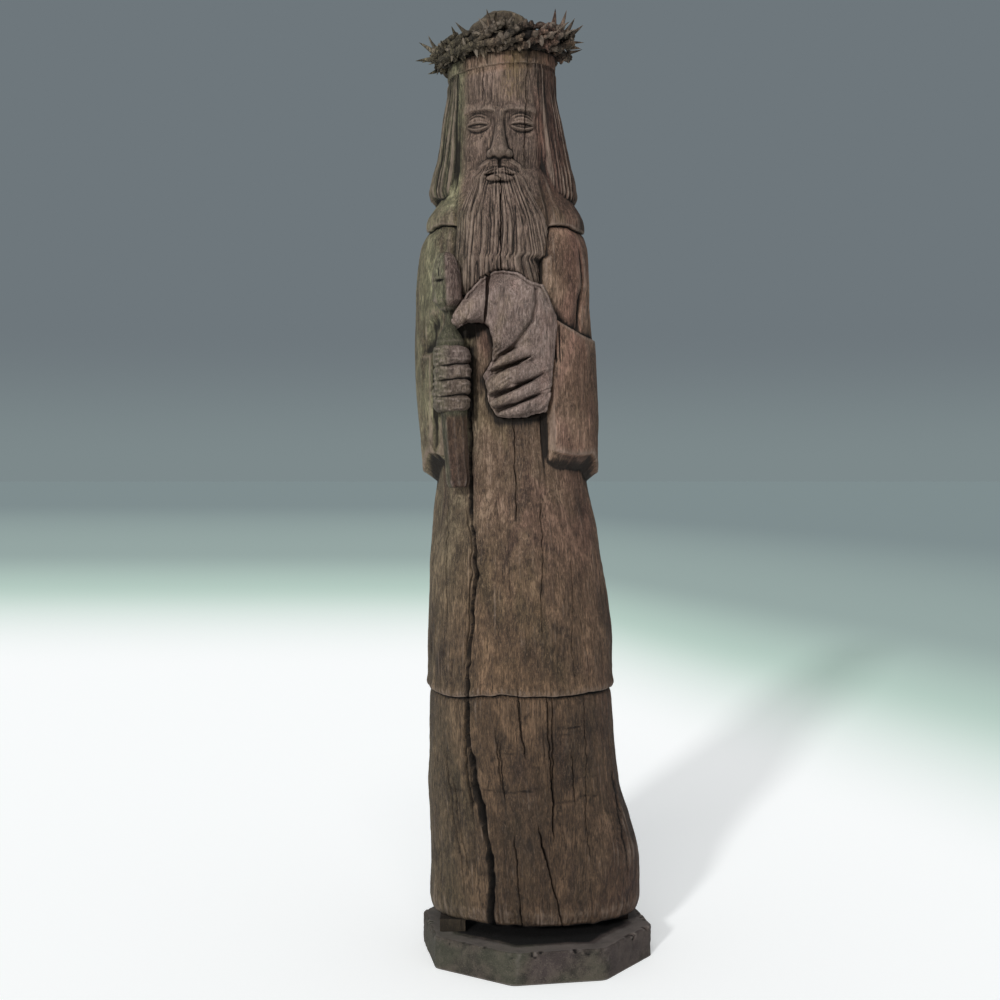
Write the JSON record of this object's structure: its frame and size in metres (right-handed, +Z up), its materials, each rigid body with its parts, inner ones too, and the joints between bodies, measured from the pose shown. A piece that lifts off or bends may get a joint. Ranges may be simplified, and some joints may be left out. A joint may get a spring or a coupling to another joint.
{
  "type": "carved wooden devotional figure",
  "caption": "Standing robed and bearded figure carved from one log, with applied hands, a lift-out reed and a lift-off wreath of thorny vines, on an octagonal stone slab.",
  "frame": {"origin": "centre of the plinth's underside, on the floor", "axes": "+Z up, the figure faces -Y, +X to the viewer's right"},
  "size_m": [0.3248, 0.3176, 1.287],
  "materials": {
    "stone": "rough mottled grey-brown stone",
    "steel": "plain zinc-plated steel",
    "weathered_wood": "old weathered grey-brown wood with drying cracks",
    "hand_wood": "weathered wood, a little greyer and smoother",
    "reed_wood": "whittled reddish wood",
    "pegs": "plain turned or sawn wood",
    "vine": "dark bark with thorns"
  },
  "bodies": {
    "figure": {"plinth": "stone", "packer_front_left": "pegs", "packer_right": "pegs", "packer_back": "pegs", "anchor_rod": "steel", "anchor_washer": "steel", "anchor_nut": "steel", "locating_pin_left": "steel", "locating_pin_right": "steel", "carved_trunk": "weathered_wood", "left_hand": "hand_wood", "left_hand_dowel_upper": "pegs", "left_hand_dowel_lower": "pegs", "right_hand": "hand_wood", "right_hand_dowel_upper": "pegs", "right_hand_dowel_lower": "pegs"},
    "crown": {"vine_core": "vine", "vine_strand_1": "vine", "vine_strand_2": "vine", "vine_strand_3": "vine", "vine_strand_4": "vine", "vine_strand_5": "vine", "vine_strand_6": "vine"},
    "scepter": {"reed_scepter": "reed_wood"}
  },
  "joints": [
    {"name": "crown_lift", "type": "slide", "parent": "figure", "child": "crown", "axis": [0, 0, 1], "range_m": [0, 0.12]},
    {"name": "scepter_slide", "type": "slide", "parent": "figure", "child": "scepter", "axis": [-0.0552, 0, 0.9985], "range_m": [0, 0.2]}
  ]
}
